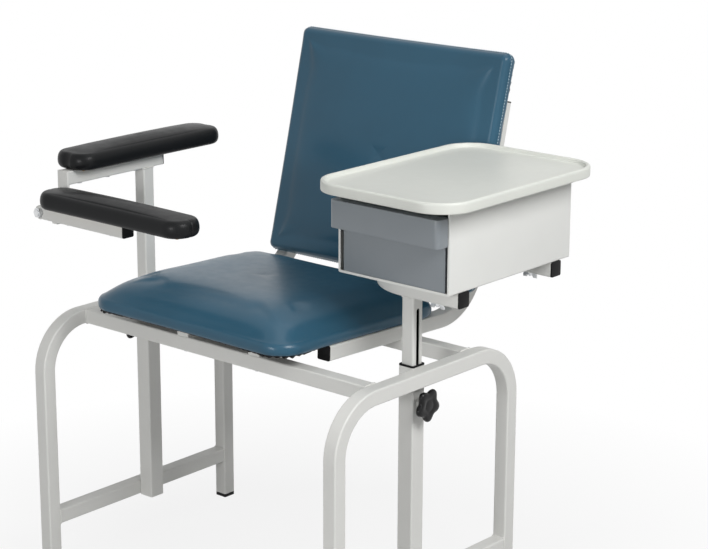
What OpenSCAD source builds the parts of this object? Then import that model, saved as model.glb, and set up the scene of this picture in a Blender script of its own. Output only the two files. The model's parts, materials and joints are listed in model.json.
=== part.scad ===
// Blood-drawing chair: a welded square-tube frame, an upholstered seat and back on two bent tubes,
// a height-adjustable tray with a drawer, and a height-adjustable arm rest with a flip-up cross arm.
// Millimetres. X runs to the sitter's left, Y to the rear, Z up. Z = 0 is the floor, and the origin
// is under the middle of the whole chair. Inside the modules, X = 0 is the middle of the frame and
// Y = 0 is the middle of the two posts.

/* [Frame] */
// Height of the top of the side frames above the floor
frame_h = 565; // [480:5:620]
// Depth of a side frame, front face to rear face
frame_depth = 580; // [540:5:640]
// Clear width between the two side frames
frame_clear_w = 800; // [790:5:840]
// Outside width of the square frame tube
tube_w = 32; // [30:1:34]
// Wall thickness of the frame tube
tube_wall = 2; // [1.5:0.25:3]
// Radius of the rounded corners of every tube
tube_corner_r = 3.5; // [3.25:0.25:4.5]
// Outside radius of the top bends of a side frame
frame_bend_r = 122; // [90:2:140]
// Distance between the middles of the two cross rails
rail_pitch = 300; // [280:5:320]
// Height of the underside of the low side stretchers
stretcher_z = 92; // [80:2:130]
// Height of the plastic foot under each leg
foot_h = 8; // [5:1:14]

/* [Posts] */
// Outside width of the fixed outer sleeves
sleeve_w = 38; // [37.5:0.5:40]
// Wall thickness of the fixed outer sleeves
sleeve_wall = 2; // [1.5:0.25:2.25]
// Outside width of the sliding inner posts
post_w = 30; // [28:0.5:30.5]
// Wall thickness of the sliding inner posts
post_wall = 2; // [1.5:0.25:2.5]
// Height of the collar flange on top of a sleeve
collar_h = 4; // [3:0.5:6]
// Depth that the collar reaches down inside a sleeve
collar_skirt = 32; // [24:2:36]
// Distance from the top of a side frame down to the lock screw
lock_drop = 76; // [74:1:90]
// Width of the slot in an inner post
slot_w = 10; // [9:0.5:12]
// Length of unslotted post below a slot
post_tail = 150; // [120:5:160]

/* [Lock knobs] */
// Diameter over the lobes of a lock knob
knob_d = 70; // [60:1:76]
// Thickness of the lobed head of a lock knob
knob_t = 12; // [10:1:16]
// Number of lobes on a lock knob
knob_lobes = 5; // [4:1:6]
// Diameter of the clamping screw
lock_screw_d = 8; // [6:0.5:8]

/* [Seat] */
// Width of the seat cushion
seat_w = 568; // [540:2:572]
// Depth of the seat cushion
seat_d = 508; // [488:2:514]
// Thickness of the seat cushion at its edge
seat_edge_t = 26; // [24:1:36]
// Extra height of the seat cushion at its middle
seat_crown = 50; // [36:1:54]
// Corner radius of the seat cushion in plan
seat_corner_r = 60; // [50:2:100]
// Distance that the middle of the seat lies to the sitter's right of the frame's middle
seat_shift = 34; // [20:1:38]
// Backward tilt of the seat in degrees
seat_tilt = 2; // [0.5:0.5:3]
// Distance from the rear cross rail's middle to the rear edge of the seat
seat_rear = 118; // [98:1:119]
// Depth that a seat tube is notched over the rear cross rail
cope_depth = 9; // [6:0.5:11]
// Thickness of the plywood boards in the seat and the back
board_t = 12; // [10:1:15]

/* [Back] */
// Width of the back cushion
back_w = 590; // [570:2:592]
// Height of the back cushion along its slope
back_l = 520; // [485:5:560]
// Thickness of the back cushion at its edge
back_edge_t = 36; // [32:1:38]
// Extra thickness of the back cushion at its middle
back_crown = 10; // [4:1:12]
// Corner radius of the back cushion seen from the front
back_corner_r = 28; // [28:2:60]
// Recline of the back from upright in degrees
recline = 14; // [13.5:0.5:18]
// Outside radius of the bend in the seat and back tubes
seat_bend_r = 140; // [138:1:150]
// Distance from the seat cushion's side in to the middle of a seat and back tube
seat_tube_inset = 22; // [20:1:44]
// Length of a seat tube in front of the rear cross rail's middle
seat_tube_front = 240; // [230:2:260]
// Distance from the rear cross rail's middle back to the start of the bend
seat_bend_start = 125; // [122:1:140]
// Length of a back tube above its bend
back_tube_l = 360; // [350:5:420]

/* [Tray unit] */
// Height of the tray post's top above the side frames
tray_lift = 143; // [138:1:170]
// Outside radius of the bends in the tray support
support_bend_r = 140; // [110:2:150]
// Distance from the middle of the support's front leg to the middle of its rear leg
support_pitch = 307; // [304:1:312]
// Distance from the tray post's middle to the cabinet's inner side
cabinet_inset = 153; // [140:1:155]
// Width of the drawer cabinet
cabinet_w = 282; // [276:1:290]
// Depth of the drawer cabinet
cabinet_d = 400; // [392:1:402]
// Height of the drawer cabinet
cabinet_h = 177; // [170:1:180]
// Thickness of the cabinet sheet
cabinet_wall = 1.6; // [1.2:0.2:2]
// Width of the folded lip round the cabinet's mouth
cabinet_lip = 5; // [4:0.25:5.25]
// Overhang of the tray past the cabinet's inner side
tray_side_overhang = 24; // [20:1:26]
// Overhang of the tray past the cabinet's outer side
tray_outer_overhang = 52; // [44:2:74]
// Overhang of the tray past the cabinet's front
tray_front_overhang = 74; // [66:1:80]
// Overhang of the tray past the cabinet's rear
tray_rear_overhang = 42; // [26:2:44]
// Height of the tray's rim
tray_h = 22; // [19:1:28]
// Corner radius of the tray
tray_corner_r = 75; // [50:1:80]
// Distance that the tray may be raised
tray_up = 100; // [60:5:110]

/* [Drawer] */
// Width of the drawer body
drawer_w = 258; // [256:0.5:262]
// Depth of the drawer body
drawer_d = 385; // [370:1:388]
// Height of the drawer's side walls
drawer_h = 110; // [95:1:120]
// Thickness of the drawer's walls
drawer_wall = 3; // [2.5:0.5:4]
// Height of the drawer's handle band
band_h = 57; // [45:1:62]
// Distance that the handle band stands out in front of the cabinet
band_reach = 32; // [26:1:40]

/* [Arm rest] */
// Height of the arm post's top above the side frames
arm_lift = 293; // [280:1:320]
// Width of the side arm pad
side_pad_w = 106; // [96:1:108]
// Length of each arm pad
pad_l = 430; // [420:5:440]
// Thickness of each arm pad
pad_t = 43; // [36:1:48]
// Distance from the posts' middle to the rear end of the side pad
side_pad_rear = 205; // [200:1:212]
// Distance from the posts' middle to the rear end of the side arm bar
side_bar_rear = 43; // [40:1:60]
// Width of the cross arm pad
cross_pad_w = 88; // [80:1:90]
// Distance from the posts' middle forward to the cross arm's middle
cross_arm_front = 286; // [285:1:300]
// Height that the cross arm bar's middle lies below the side arm bar's middle
cross_arm_drop = 63; // [60:1:80]
// Length of the cross arm bar from the hinge pin
cross_bar_l = 250; // [220:5:300]
// Distance from the hinge pin to the near end of the cross pad
cross_pad_start = 8; // [6:1:20]
// Diameter of the cross arm's hinge pin
hinge_pin_d = 14; // [12:1:16]
// Distance that the arm rest may be lowered
arm_down = 150; // [100:5:155]
// Distance that the arm rest may be raised
arm_up = 30; // [20:2:40]

/* [Hidden] */

// Overrun of every cut past the face it opens
cut = 1;
// Facets on small, middle and large curves
fn_small = 24;
fn_mid = 40;
fn_large = 72;
// Clearance of a flat sliding or moving piece beside a fixed one
slide_gap = 0.3;
// Clearance round a piece that is dropped into a seat and stays there
seat_gap = 0.2;
// Radial running clearance on a pin or a screw
pin_gap = 0.05;

// Places of the frame
frame_half_w = frame_clear_w / 2;
frame_half_d = frame_depth / 2;
side_x = frame_half_w + tube_w / 2;
rail_half = rail_pitch / 2;
post_x = frame_half_w - sleeve_w / 2;
sleeve_l = frame_h - stretcher_z;
lock_z = frame_h - lock_drop;

// Sizes of the pressed-in caps and feet
cap_lip = 3;
cap_plug_l = 18;
cap_wall = 2;

// Sizes of the lock screw, its clamp plate and its welded boss
boss_d = 16;
boss_l = 9;
clamp_plate_w = 22;
clamp_plate_t = 5;
slot_end_gap = 3;
knob_gap = 0.5;
knob_hub_d = 28;
knob_hub_l = 8;
knob_cap_t = 4;
knob_hollow_share = 0.24;
knob_steps = 90;
stud_end = sleeve_w / 2 + boss_l + knob_gap + knob_hub_l + knob_t - knob_cap_t;

// Shapes of the cushions. Each pair gives the inset from the widest line, as a share of the
// underside's or the top's inset, and the height, as a share of the edge thickness. The crown
// shares say how far each upper ring has moved towards the middle, and a crown's power says how
// soon it reaches its height.
under_shares = [[1, 0], [0.3, 0.11], [0.05, 0.3]];
over_shares = [[0, 0.5], [0.1, 0.72], [0.4, 0.91], [0.95, 1]];
crown_shares = [0.04, 0.1, 0.22, 0.4, 0.64];
arc_steps = 6;
side_steps = 5;
seat_under_inset = 4;
seat_over_inset = 6;
seat_pull = 3;
seat_crown_power = 6;
back_under_inset = 4;
back_over_inset = 19;
back_pull = 2;
back_crown_power = 2;
pad_under_inset = 9;
pad_over_inset = 13;
pad_pull = 1.5;
pad_crown_power = 2;
pad_edge_share = 0.86;
pad_corner_r = 40;

// Places of the seat
seat_tube_half = seat_w / 2 - seat_tube_inset;
seat_mid_y = seat_rear - seat_d / 2;
seat_bend_turn = 90 - recline + seat_tilt;
seat_front = seat_rear - seat_d;
// The back's straight tube starts inside the bend's wall, with its faces this much within it
joint_step = 0.01;
joint_overlap = 0.5;
cover_t = 1;
cover_inset = 10;
board_inset = 12;
board_side_gap = 0.3;
spacer_half = 102;
spacer_w = 32;

// Places of the back, in a frame at the centre of the tube bend: Y up the back, Z to the sitter
back_drop = 57;
back_side_shift = 4;
bend_clearance = 0.5;
back_mid_y = back_l / 2 - back_drop;
back_spacer_t = 5;
back_spacer_d = 24;
back_face = tube_w - seat_bend_r + back_spacer_t;

// Screws of the seat, the back and the arm pads
screw_d = 6;
screw_hole_d = screw_d + 2 * seat_gap;
screw_head_d = 12;
screw_head_h = 3.5;
screw_bite = 7;
seat_screw_shares = [0.15, 0.5, 0.85];
back_screw_shares = [0.1, 0.53, 0.92];

// Places of the tray unit
support_z = frame_h + tray_lift;
support_mid_z = support_z + tube_w / 2;
cabinet_left = post_x - cabinet_inset;
cabinet_right = cabinet_left + cabinet_w;
cabinet_mid_x = (cabinet_left + cabinet_right) / 2;
cabinet_front_reach = 48;
cabinet_front = -cabinet_front_reach;
cabinet_rear = cabinet_front + cabinet_d;
cabinet_z = support_z + tube_w;
cabinet_edge_r = 4;
tray_z = cabinet_z + cabinet_h;
support_turn_x = cabinet_left + support_bend_r;
support_front_turn_y = support_bend_r - tube_w / 2;
support_rear_turn_y = support_pitch + tube_w / 2 - support_bend_r;
support_end_x = cabinet_right - cap_lip;
slot_top_drop = 23;
tray_slot_bottom = lock_z - tray_up - slot_w / 2 - slot_end_gap;
tray_slot_top = support_z - slot_top_drop;
bolt_edge_in = 65;
bolt_head_d = 14;
bolt_head_h = 3;
nut_hub_d = 13;
nut_hub_h = 7;
nut_wing_l = 13;
nut_wing_h = 13;
nut_wing_t = 2.4;
bolt_tail = nut_hub_h + slot_end_gap;
bolt_places = [[cabinet_right - bolt_edge_in, 0], [cabinet_right - bolt_edge_in, support_pitch],
    [cabinet_left + tube_w / 2, support_pitch / 2]];

// Shape of the tray
tray_w = cabinet_w + tray_side_overhang + tray_outer_overhang;
tray_d = cabinet_d + tray_front_overhang + tray_rear_overhang;
tray_left = cabinet_left - tray_side_overhang;
tray_front = cabinet_front - tray_front_overhang;
tray_mid = [tray_left + tray_w / 2, tray_front + tray_d / 2];
tray_rim_w = 10;
tray_recess = 9;
tray_floor_t = 3;
tray_rib_t = 3;
tray_edge_r = 4;
tray_edge_steps = 4;
clip_w = 18;
clip_h = 14;
clip_reach = 12;
clip_t = 2;
clip_edge_in = 28;
clip_y = [cabinet_front + clip_edge_in, cabinet_rear - clip_edge_in];

// Shape of the drawer
drawer_set_back = 2;
drawer_panel_gap = 3;
drawer_floor_gap = 8;
drawer_front = cabinet_front + drawer_set_back;
drawer_panel_z = cabinet_z + drawer_panel_gap;
drawer_floor_z = cabinet_z + drawer_floor_gap;
band_bottom = 99;
band_side_in = 3;
band_z = cabinet_z + band_bottom;
band_w = cabinet_w - 2 * band_side_in;
band_corner_r = 11;
band_gap = 1;
rib_h = 6;
rib_set_back = 30;
rib_out = 6.5;
rib_share = 0.62;
rib_z = drawer_floor_z + rib_share * drawer_h;
runner_t = 2;
runner_gap = 0.5;

// Places of the arm rest
arm_bar_z = frame_h + arm_lift;
arm_bar_mid_z = arm_bar_z + post_w / 2;
pad_z = arm_bar_z + post_w;
pad_mid_y = side_pad_rear - pad_l / 2;
arm_slot_bottom = lock_z - arm_up - slot_w / 2 - slot_end_gap;
arm_slot_top = lock_z + arm_down + slot_w / 2 + slot_end_gap;
pad_board_t = 9;
pad_board_inset = 17;
side_screw_places = [-190, -110, -28];
hinge_plate_t = 6;
hinge_plate_rear = 230;
hinge_plate_drop = 30;
hinge_z = arm_bar_mid_z - cross_arm_drop;
hinge_head_d = 24;
hinge_head_h = 4;
hinge_nut_w = 22;
hinge_nut_t = 8;
hinge_tail = 2;
barrel_gap = 0.5;
barrel_d = post_w;
barrel_rear = -hinge_plate_rear - hinge_plate_t - barrel_gap;
barrel_front = -cross_arm_front - post_w / 2;
lug_w = 16;
lug_h = 8;
lug_out = 20;
cross_pad_z = hinge_z + post_w / 2;
cross_screw_shares = [0.3, 0.82];

// The whole chair's middle, which becomes the origin
chair_left = -post_x - side_pad_w / 2;
chair_right = tray_left + tray_w;
chair_front = -cross_arm_front - cross_pad_w / 2;
bend_y = rail_half + seat_bend_start * cos(seat_tilt) + (seat_bend_r - tube_w) * sin(seat_tilt);
chair_rear = bend_y + (back_tube_l + cap_lip) * sin(recline) + seat_bend_r * cos(recline);
origin_x = (chair_left + chair_right) / 2;
origin_y = (chair_front + chair_rear) / 2;

frame_paint = [0.84, 0.84, 0.82];
black_plastic = [0.08, 0.08, 0.08];
teal_vinyl = [0.2, 0.36, 0.45];
dark_vinyl = [0.09, 0.1, 0.11];
plywood = [0.72, 0.58, 0.4];
zinc = [0.7, 0.71, 0.72];
cabinet_paint = [0.87, 0.87, 0.87];
tray_plastic = [0.83, 0.84, 0.82];
drawer_plastic = [0.5, 0.54, 0.58];

// Outlines

module soft_rect(w, d, r) {
    square([w - 2 * r, d], center = true);
    square([w, d - 2 * r], center = true);
    for (sx = [-1, 1], sy = [-1, 1])
        translate([sx * (w / 2 - r), sy * (d / 2 - r)])
            circle(r = r, $fn = fn_small);
}

module soft_plate(w, d, r) {
    square([w - 2 * r, d], center = true);
    square([w, d - 2 * r], center = true);
    for (sx = [-1, 1], sy = [-1, 1])
        translate([sx * (w / 2 - r), sy * (d / 2 - r)])
            circle(r = r, $fn = fn_large);
}

module tube_outline(w, wall) {
    difference() {
        soft_rect(w, w, tube_corner_r);
        soft_rect(w - 2 * wall, w - 2 * wall, tube_corner_r - wall / 2);
    }
}

// Square tubes and what closes them

module tube_run(w, wall, l) {
    linear_extrude(l) tube_outline(w, wall);
}

// The bend starts on local X and turns towards local Y
module tube_bend(r_out, turn) {
    rotate_extrude(angle = turn, $fn = fn_large)
        translate([r_out - tube_w / 2, 0])
            tube_outline(tube_w, tube_wall);
}

// The lip lies above Z = 0 and the plug below it
module end_cap(w, wall, lip) {
    plug_w = w - 2 * wall - 2 * seat_gap;
    linear_extrude(lip) soft_rect(w, w, tube_corner_r);
    translate([0, 0, -cap_plug_l])
        linear_extrude(cap_plug_l)
            difference() {
                soft_rect(plug_w, plug_w, tube_corner_r - wall / 2);
                square(plug_w - 2 * cap_wall, center = true);
            }
}

// Cushion form: rings of points from the flat underside up to the middle of the crown

function corner_middle(k, w, d, r) =
    [(k == 0 || k == 3 ? 1 : -1) * (w / 2 - r), (k < 2 ? 1 : -1) * (d / 2 - r)];

function corner_point(k, turn, w, d, r) =
    corner_middle(k, w, d, r) + r * [cos(90 * k + turn), sin(90 * k + turn)];

function side_point(k, share, w, d, r, pull) =
    (1 - share) * corner_point(k, 90, w, d, r) + share * corner_point((k + 1) % 4, 0, w, d, r)
    - pull * sin(180 * share) * [cos(90 * k + 90), sin(90 * k + 90)];

function cushion_ring(w, d, r, pull) = [for (k = [0:3]) each concat(
    [for (i = [0:arc_steps]) corner_point(k, 90 * i / arc_steps, w, d, r)],
    [for (i = [1:side_steps - 1]) side_point(k, i / side_steps, w, d, r, pull)])];

function raised(ring, z) = [for (p = ring) [p[0], p[1], z]];

function side_rings(shares, inset, w, d, r, edge_t, pull) = [for (s = shares) each raised(
    cushion_ring(w - 2 * inset * s[0], d - 2 * inset * s[0], r - inset * s[0], pull), edge_t * s[1])];

function cushion_points(w, d, r, edge_t, crown, power, under, over, pull) =
    let (top_inset = over * over_shares[len(over_shares) - 1][0])
    concat(
        side_rings(under_shares, under, w, d, r, edge_t, pull),
        side_rings(over_shares, over, w, d, r, edge_t, pull),
        [for (c = crown_shares) each raised(
            (1 - c) * cushion_ring(w - 2 * top_inset, d - 2 * top_inset, r - top_inset, pull),
            edge_t + crown * (1 - pow(1 - c, power)))],
        [[0, 0, edge_t + crown]]);

module cushion_form(w, d, r, edge_t, crown, power, under, over, pull) {
    points = cushion_points(w, d, r, edge_t, crown, power, under, over, pull);
    n = 4 * (arc_steps + side_steps);
    rings = (len(points) - 1) / n;
    top = len(points) - 1;
    polyhedron(points = points, convexity = 4, faces = concat(
        [[for (j = [0:n - 1]) j]],
        [for (i = [0:rings - 2], j = [0:n - 1]) [i * n + j, (i + 1) * n + j, (i + 1) * n + (j + 1) % n]],
        [for (i = [0:rings - 2], j = [0:n - 1]) [i * n + j, (i + 1) * n + (j + 1) % n, i * n + (j + 1) % n]],
        [for (j = [0:n - 1]) [top, (rings - 1) * n + (j + 1) % n, (rings - 1) * n + j]]));
}

// Screws point up: the head's underside is at Z = 0

module screw(l) {
    translate([0, 0, -screw_head_h]) cylinder(d = screw_head_d, h = screw_head_h, $fn = fn_small);
    cylinder(d = screw_d, h = l, $fn = fn_small);
}

module screw_hole(l) {
    translate([0, 0, -cut]) cylinder(d = screw_hole_d, h = l + 2 * cut, $fn = fn_small);
}

// Frames of reference

module chair() {
    translate([-origin_x, -origin_y, 0]) children();
}

module left_side() {
    mirror([1, 0, 0]) children();
}

// Z = 0 is the top of the seat tubes, and Y = 0 is over the rear cross rail
module on_seat() {
    translate([-seat_shift, rail_half, frame_h + tube_w - cope_depth])
        rotate([-seat_tilt, 0, 0]) children();
}

module back_from_seat() {
    translate([0, seat_bend_start, seat_bend_r - tube_w])
        rotate([seat_bend_turn, 0, 0]) children();
}

module on_back() {
    on_seat() back_from_seat() children();
}

// Fixed frame

module side_frame() {
    leg_y = frame_half_d - tube_w / 2;
    turn_y = frame_half_d - frame_bend_r;
    turn_z = frame_h - frame_bend_r;
    color(frame_paint) translate([side_x, 0, 0]) {
        for (s = [-1, 1])
            translate([0, s * leg_y, foot_h]) tube_run(tube_w, tube_wall, turn_z - foot_h);
        translate([0, -turn_y, frame_h - tube_w / 2])
            rotate([-90, 0, 0]) tube_run(tube_w, tube_wall, 2 * turn_y);
        for (s = [0, 1])
            mirror([0, s, 0])
                translate([0, turn_y, turn_z])
                    rotate([90, 0, 90]) tube_bend(frame_bend_r, 90);
    }
}

module side_stretcher() {
    l = frame_depth - 2 * tube_w;
    color(frame_paint)
        translate([side_x, -l / 2, stretcher_z + tube_w / 2])
            rotate([-90, 0, 0]) tube_run(tube_w, tube_wall, l);
}

module cross_rail() {
    translate([-frame_half_w, 0, frame_h - tube_w / 2])
        rotate([0, 90, 0]) tube_run(tube_w, tube_wall, frame_clear_w);
}

module front_cross_rail() {
    color(frame_paint) difference() {
        translate([0, -rail_half, 0]) cross_rail();
        on_seat() spacer_screws() screw_hole(spacer_screw_l);
    }
}

module rear_cross_rail() {
    color(frame_paint) translate([0, rail_half, 0]) cross_rail();
}

module post_sleeve() {
    color(frame_paint) translate([post_x, 0, 0]) difference() {
        union() {
            translate([0, 0, stretcher_z]) tube_run(sleeve_w, sleeve_wall, sleeve_l);
            translate([sleeve_w / 2, 0, lock_z])
                rotate([0, 90, 0]) cylinder(d = boss_d, h = boss_l, $fn = fn_small);
        }
        translate([post_w / 2, 0, lock_z])
            rotate([0, 90, 0])
                cylinder(d = lock_screw_d + 2 * seat_gap, h = sleeve_w + boss_l, $fn = fn_small);
    }
}

module sleeve_collar() {
    skirt_w = sleeve_w - 2 * sleeve_wall - 2 * seat_gap;
    hole_w = post_w + 2 * slide_gap;
    color(black_plastic) translate([post_x, 0, frame_h]) difference() {
        union() {
            linear_extrude(collar_h) soft_rect(sleeve_w, sleeve_w, tube_corner_r);
            translate([0, 0, -collar_skirt])
                linear_extrude(collar_skirt + collar_h)
                    soft_rect(skirt_w, skirt_w, tube_corner_r - sleeve_wall / 2);
        }
        translate([0, 0, -collar_skirt - cut])
            linear_extrude(collar_skirt + collar_h + 2 * cut)
                soft_rect(hole_w, hole_w, tube_corner_r - slide_gap);
    }
}

module lock_stud() {
    plate_x = post_w / 2 - post_wall - slide_gap - clamp_plate_t;
    color(zinc) translate([post_x, 0, lock_z]) {
        translate([plate_x, -clamp_plate_w / 2, -clamp_plate_w / 2])
            cube([clamp_plate_t, clamp_plate_w, clamp_plate_w]);
        translate([plate_x, 0, 0])
            rotate([0, 90, 0]) cylinder(d = lock_screw_d, h = stud_end - plate_x, $fn = fn_small);
    }
}

module foot_tips() {
    color(black_plastic)
        for (s = [-1, 1])
            translate([side_x, s * (frame_half_d - tube_w / 2), foot_h])
                mirror([0, 0, 1]) end_cap(tube_w, tube_wall, foot_h);
}

// Seat and back

// The block of space that the rear cross rail fills, in the seat's own frame
module rail_notch() {
    rotate([seat_tilt, 0, 0])
        translate([-frame_half_w, -tube_w / 2, cope_depth - 2 * tube_w])
            cube([frame_clear_w, tube_w, tube_w]);
}

module seat_back_tube(side) {
    tube_x = side * seat_tube_half;
    seat_l = seat_tube_front + seat_bend_start;
    color(frame_paint) on_seat() difference() {
        union() {
            translate([tube_x, -seat_tube_front, -tube_w / 2])
                rotate([-90, 0, 0]) tube_run(tube_w, tube_wall, seat_l);
            translate([tube_x, seat_bend_start, seat_bend_r - tube_w])
                rotate([90, 0, 90]) {
                    rotate([0, 0, -90]) tube_bend(seat_bend_r, seat_bend_turn);
                    rotate([0, 0, seat_bend_turn - 90])
                        translate([seat_bend_r - tube_w / 2, -joint_overlap, 0])
                            rotate([-90, 0, 0])
                                tube_run(tube_w - 2 * joint_step, tube_wall - 2 * joint_step,
                                    back_tube_l + joint_overlap);
                }
        }
        rail_notch();
        seat_tube_screws(side) screw_hole(seat_screw_l);
        back_from_seat() back_tube_screws(side) screw_hole(back_screw_l);
    }
}

module tube_end_caps() {
    color(black_plastic)
        for (s = [-1, 1]) {
            on_seat()
                translate([s * seat_tube_half, -seat_tube_front, -tube_w / 2])
                    rotate([90, 0, 0]) end_cap(tube_w, tube_wall, cap_lip);
            on_back()
                translate([s * seat_tube_half, back_tube_l, tube_w / 2 - seat_bend_r])
                    rotate([-90, 0, 0]) end_cap(tube_w, tube_wall, cap_lip);
        }
}

module seat_spacers() {
    color(frame_paint) difference() {
        for (s = [-1, 1])
            translate([s * spacer_half, -rail_half, frame_h])
                tube_run(spacer_w, tube_wall, 2 * spacer_w);
        on_seat()
            translate([-seat_w / 2, seat_front, 0]) cube([seat_w, seat_d, 2 * spacer_w]);
    }
}

seat_screw_l = tube_w + cover_t + screw_bite;
spacer_screw_drop = tube_w - cope_depth + tube_w;
spacer_rise = rail_pitch * sin(seat_tilt);
spacer_screw_l = spacer_screw_drop + spacer_rise + slide_gap + cover_t + screw_bite;

module seat_tube_screws(side) {
    for (t = seat_screw_shares)
        translate([side * seat_tube_half, -seat_tube_front * (1 - t), -tube_w])
            children();
}

module spacer_screws() {
    for (s = [-1, 1])
        translate([s * spacer_half + seat_shift, -rail_pitch, -spacer_screw_drop - spacer_rise - slide_gap])
            children();
}

module all_seat_holes() {
    for (s = [-1, 1])
        seat_tube_screws(s) screw_hole(seat_screw_l);
    spacer_screws() screw_hole(spacer_screw_l);
}

module seat_screws() {
    color(zinc) on_seat() {
        for (s = [-1, 1])
            seat_tube_screws(s) screw(seat_screw_l);
        spacer_screws() screw(spacer_screw_l);
    }
}

module seat_dust_cover() {
    w = seat_w - 2 * cover_inset;
    d = seat_d - 2 * cover_inset;
    color(black_plastic) on_seat() difference() {
        translate([0, seat_mid_y, 0])
            linear_extrude(cover_t) soft_plate(w, d, seat_corner_r - cover_inset);
        all_seat_holes();
    }
}

module seat_board() {
    w = seat_w - 2 * board_inset;
    d = seat_d - 2 * board_inset;
    color(plywood) on_seat() difference() {
        translate([0, seat_mid_y, cover_t])
            linear_extrude(board_t) soft_plate(w, d, seat_corner_r - board_inset);
        all_seat_holes();
    }
}

module seat_cushion() {
    w = seat_w - 2 * board_inset + 2 * board_side_gap;
    d = seat_d - 2 * board_inset + 2 * board_side_gap;
    color(teal_vinyl) on_seat()
        translate([0, seat_mid_y, cover_t]) difference() {
            cushion_form(seat_w, seat_d, seat_corner_r, seat_edge_t, seat_crown, seat_crown_power,
                seat_under_inset, seat_over_inset, seat_pull);
            translate([0, 0, -cut])
                linear_extrude(board_t + cut) soft_plate(w, d, seat_corner_r - board_inset + board_side_gap);
        }
}

back_screw_l = tube_w + back_spacer_t + cover_t + screw_bite;

module back_tube_screws(side) {
    for (t = back_screw_shares)
        translate([side * seat_tube_half, back_tube_l * t, -seat_bend_r])
            children();
}

module back_screws() {
    color(zinc) on_back()
        for (s = [-1, 1])
            back_tube_screws(s) screw(back_screw_l);
}

module back_spacers() {
    color(black_plastic) on_back()
        for (s = [-1, 1])
            back_tube_screws(s) translate([0, 0, tube_w]) difference() {
                cylinder(d = back_spacer_d, h = back_spacer_t, $fn = fn_mid);
                screw_hole(back_spacer_t);
            }
}

module all_back_holes() {
    for (s = [-1, 1])
        back_tube_screws(s) screw_hole(back_screw_l);
}

module back_cover_panel() {
    w = back_w - 2 * cover_inset;
    l = back_l - 2 * cover_inset;
    color(black_plastic) on_back() difference() {
        translate([back_side_shift, back_mid_y, back_face])
            linear_extrude(cover_t) soft_plate(w, l, back_corner_r - cover_inset);
        all_back_holes();
        outside_of_bend();
    }
}

module back_board() {
    w = back_w - 2 * board_inset;
    l = back_l - 2 * board_inset;
    color(plywood) on_back() difference() {
        translate([back_side_shift, back_mid_y, back_face + cover_t])
            linear_extrude(board_t) soft_plate(w, l, back_corner_r - board_inset);
        all_back_holes();
        outside_of_bend();
    }
}

// The space below the bends' ends that the tubes fill, so that what lies there is cut back
module outside_of_bend() {
    inner_r = seat_bend_r - tube_w - bend_clearance;
    difference() {
        translate([-back_w, -seat_bend_r, -seat_bend_r]) cube([2 * back_w, seat_bend_r, seat_bend_r]);
        translate([-back_w - cut, 0, 0])
            rotate([0, 90, 0]) cylinder(r = inner_r, h = 2 * (back_w + cut), $fn = fn_large);
    }
}

module back_cushion() {
    w = back_w - 2 * board_inset + 2 * board_side_gap;
    l = back_l - 2 * board_inset + 2 * board_side_gap;
    color(teal_vinyl) on_back() difference() {
        translate([back_side_shift, back_mid_y, back_face + cover_t])
            cushion_form(back_w, back_l, back_corner_r, back_edge_t, back_crown, back_crown_power,
                back_under_inset, back_over_inset, back_pull);
        translate([back_side_shift, back_mid_y, back_face + cover_t - cut])
            linear_extrude(board_t + cut) soft_plate(w, l, back_corner_r - board_inset + board_side_gap);
        outside_of_bend();
    }
}

// Sliding posts. The slot lies in the outboard wall.

module slotted_post(bottom, top, slot_bottom, slot_top) {
    translate([post_x, 0, 0]) difference() {
        translate([0, 0, bottom]) tube_run(post_w, post_wall, top - bottom);
        translate([0, -slot_w / 2, slot_bottom + slot_w / 2])
            cube([post_w, slot_w, slot_top - slot_bottom - slot_w]);
        for (z = [slot_bottom + slot_w / 2, slot_top - slot_w / 2])
            translate([0, 0, z])
                rotate([0, 90, 0]) cylinder(d = slot_w, h = post_w, $fn = fn_small);
    }
}

// Tray unit

module tray_post() {
    color(frame_paint)
        slotted_post(tray_slot_bottom - post_tail, support_z, tray_slot_bottom, tray_slot_top);
}

module support_leg(y) {
    translate([support_turn_x, y, 0])
        rotate([0, 90, 0]) tube_run(tube_w, tube_wall, support_end_x - support_turn_x);
}

module tray_support_frame() {
    color(frame_paint) difference() {
        translate([0, 0, support_mid_z]) {
            support_leg(0);
            support_leg(support_pitch);
            translate([cabinet_left + tube_w / 2, support_front_turn_y, 0])
                rotate([-90, 0, 0])
                    tube_run(tube_w, tube_wall, support_rear_turn_y - support_front_turn_y);
            translate([support_turn_x, support_front_turn_y, 0])
                rotate([0, 0, 180]) tube_bend(support_bend_r, 90);
            translate([support_turn_x, support_rear_turn_y, 0])
                rotate([0, 0, 90]) tube_bend(support_bend_r, 90);
        }
        bolt_holes();
    }
}

module support_end_caps() {
    color(black_plastic)
        for (y = [0, support_pitch])
            translate([support_end_x, y, support_mid_z])
                rotate([0, 90, 0]) end_cap(tube_w, tube_wall, cap_lip);
}

module bolt_holes() {
    for (p = bolt_places)
        translate([p[0], p[1], support_z - cut])
            cylinder(d = screw_hole_d, h = tube_w + cabinet_wall + 2 * cut, $fn = fn_small);
}

module cabinet() {
    mouth_w = cabinet_w - 2 * cabinet_lip;
    mouth_h = cabinet_h - 2 * cabinet_lip;
    inner_r = cabinet_edge_r - cabinet_wall;
    color(cabinet_paint) difference() {
        translate([cabinet_mid_x, cabinet_rear, cabinet_z + cabinet_h / 2])
            rotate([90, 0, 0]) difference() {
                linear_extrude(cabinet_d) soft_rect(cabinet_w, cabinet_h, cabinet_edge_r);
                translate([0, 0, cabinet_wall])
                    linear_extrude(cabinet_d - 2 * cabinet_wall)
                        soft_rect(cabinet_w - 2 * cabinet_wall, cabinet_h - 2 * cabinet_wall, inner_r);
                translate([0, 0, cabinet_d - cabinet_wall - cut])
                    linear_extrude(cabinet_wall + 2 * cut) square([mouth_w, mouth_h], center = true);
            }
        bolt_holes();
    }
}

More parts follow.
